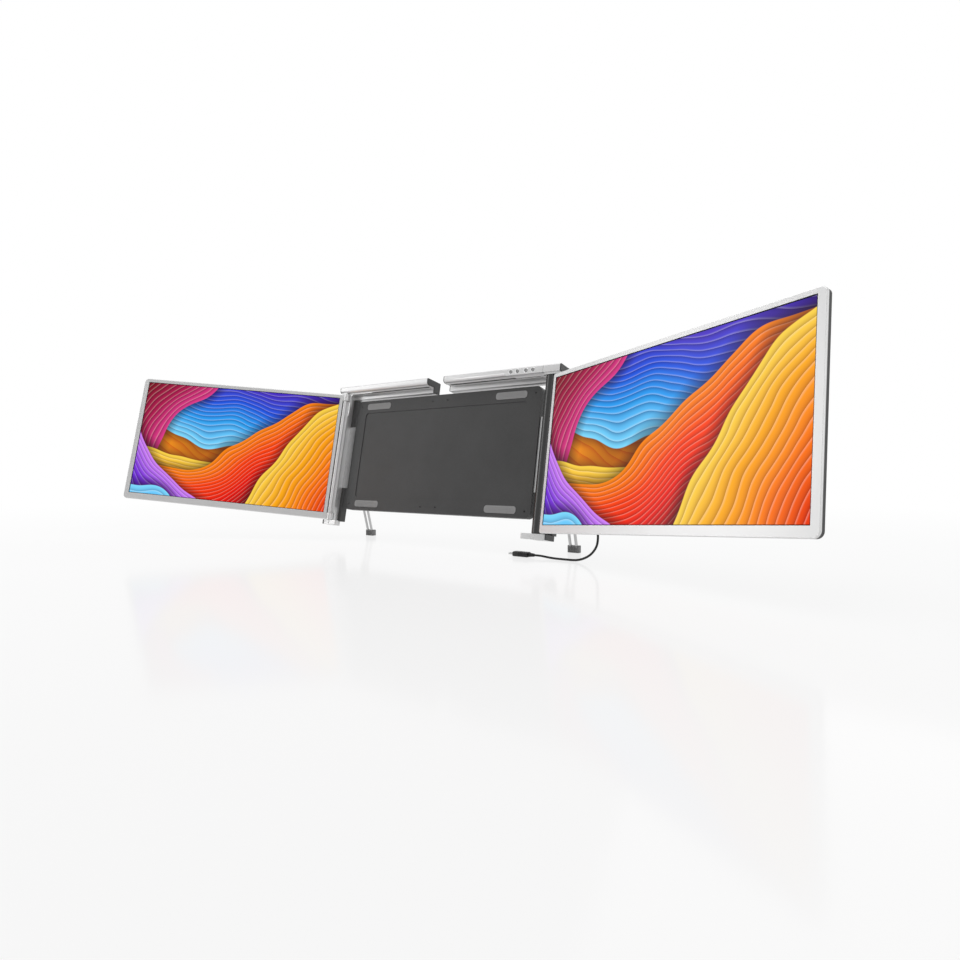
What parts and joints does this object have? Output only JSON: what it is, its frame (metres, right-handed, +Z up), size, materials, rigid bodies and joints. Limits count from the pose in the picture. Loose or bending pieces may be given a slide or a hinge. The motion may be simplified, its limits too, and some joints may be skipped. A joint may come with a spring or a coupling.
{
  "type": "laptop screen extender",
  "caption": "Clamp frame that hangs on a laptop's lid, with a hinged side screen at each end, buttons, prop legs and a short lead.",
  "frame": {"origin": "middle of the lid slot's top edge, on the plane of the rest pads, where the back of the laptop's lid lies", "axes": "+X to the right seen from the front, +Y to the back, +Z up; the frame leans back 10.9 degrees with the lid"},
  "size_m": [1.0116, 0.2694, 0.2663],
  "materials": {
    "silver_bar": "satin anodised",
    "silver_frame": "satin anodised, fine brushed",
    "button": "smooth metallic grey",
    "dark_metal": "dark anodised, fine matt texture",
    "housing": "dark anodised, fine matt texture",
    "rear_shell": "dark anodised, fine matt texture",
    "barrel": "satin black",
    "rubber": "matt, ribbed",
    "steel": "drawn",
    "screen_glass": "gloss, lit from behind",
    "display_panel": "plain",
    "circuit_board": "solder mask",
    "lead_black": "satin black"
  },
  "bodies": {
    "housing": {"housing_plate": "housing", "housing_shell": "housing", "rest_pads": "rubber", "housing_screws": "steel"},
    "left_clamp": {"left_top_bar": "silver_bar", "left_bar_caps": "dark_metal", "left_side_rail": "silver_bar", "left_bottom_clip": "silver_bar", "left_clip_cap": "dark_metal", "left_column": "dark_metal", "left_slide_plate": "steel", "left_hinge_pins": "steel", "left_leg_bracket": "dark_metal", "left_leg_pin": "steel"},
    "left_screen": {"left_front_frame": "silver_frame", "left_glass": "screen_glass", "left_display": "display_panel", "left_driver_board": "circuit_board", "left_rear_shell": "rear_shell", "left_knuckles": "silver_bar"},
    "right_clamp": {"right_top_bar": "silver_bar", "right_end_block": "silver_bar", "right_bar_caps": "dark_metal", "right_bottom_clip": "silver_bar", "right_clip_cap": "dark_metal", "right_column": "dark_metal", "right_column_cover": "dark_metal", "right_slide_plate": "steel", "right_hinge_pins": "steel", "button_board": "circuit_board", "hub_board": "circuit_board", "usb_socket": "steel", "right_leg_bracket": "dark_metal", "right_leg_pin": "steel", "lead": "lead_black", "socket_plug": "lead_black", "socket_plug_tip": "steel", "laptop_plug": "lead_black", "laptop_plug_tip": "steel"},
    "right_screen": {"right_front_frame": "silver_frame", "right_glass": "screen_glass", "right_display": "display_panel", "right_driver_board": "circuit_board", "right_rear_shell": "rear_shell", "right_barrel": "barrel"},
    "power_button": {"button_power": "button"},
    "menu_button": {"button_menu": "button"},
    "minus_button": {"button_minus": "button"},
    "plus_button": {"button_plus": "button"},
    "left_leg": {"left_leg_sleeve": "dark_metal"},
    "left_leg_foot": {"left_leg_rods": "steel", "left_foot": "rubber"},
    "right_leg": {"right_leg_sleeve": "dark_metal"},
    "right_leg_foot": {"right_leg_rods": "steel", "right_foot": "rubber"}
  },
  "joints": [
    {"name": "left_clamp_slide", "type": "slide", "parent": "housing", "child": "left_clamp", "axis": [-1, 0, 0], "range_m": [-0.005, 0.022]},
    {"name": "right_clamp_slide", "type": "slide", "parent": "housing", "child": "right_clamp", "axis": [1, 0, 0], "range_m": [-0.005, 0.022]},
    {"name": "left_screen_hinge", "type": "hinge", "parent": "left_clamp", "child": "left_screen", "pos_m": [-0.1873, -0.0302, -0.09602], "axis": [0, 0.1891, 0.982], "range_deg": [-29.5, 150.5]},
    {"name": "right_screen_hinge", "type": "hinge", "parent": "right_clamp", "child": "right_screen", "pos_m": [0.1873, -0.02382, -0.09725], "axis": [0, -0.1891, -0.982], "range_deg": [-23.2, 156.8]},
    {"name": "left_leg_hinge", "type": "hinge", "parent": "left_clamp", "child": "left_leg", "pos_m": [-0.1913, 0.00465, -0.08746], "axis": [1, 0, 0], "range_deg": [-25, 9]},
    {"name": "left_foot_slide", "type": "slide", "parent": "left_leg", "child": "left_leg_foot", "axis": [0, 0.2605, -0.9655], "range_m": [-0.03, 0.01]},
    {"name": "right_leg_hinge", "type": "hinge", "parent": "right_clamp", "child": "right_leg", "pos_m": [0.1943, 0.00465, -0.08746], "axis": [1, 0, 0], "range_deg": [-25, 9]},
    {"name": "right_foot_slide", "type": "slide", "parent": "right_leg", "child": "right_leg_foot", "axis": [0, 0.2605, -0.9655], "range_m": [-0.03, 0.01]},
    {"name": "power_press", "type": "slide", "parent": "right_clamp", "child": "power_button", "axis": [0, 0.982, -0.1891], "range_m": [0, 0.0005], "stiffness_N_per_m": 400, "springref_m": -0.0006},
    {"name": "menu_press", "type": "slide", "parent": "right_clamp", "child": "menu_button", "axis": [0, 0.982, -0.1891], "range_m": [0, 0.0005], "stiffness_N_per_m": 400, "springref_m": -0.0006},
    {"name": "minus_press", "type": "slide", "parent": "right_clamp", "child": "minus_button", "axis": [0, 0.982, -0.1891], "range_m": [0, 0.0005], "stiffness_N_per_m": 400, "springref_m": -0.0006},
    {"name": "plus_press", "type": "slide", "parent": "right_clamp", "child": "plus_button", "axis": [0, 0.982, -0.1891], "range_m": [0, 0.0005], "stiffness_N_per_m": 400, "springref_m": -0.0006}
  ]
}
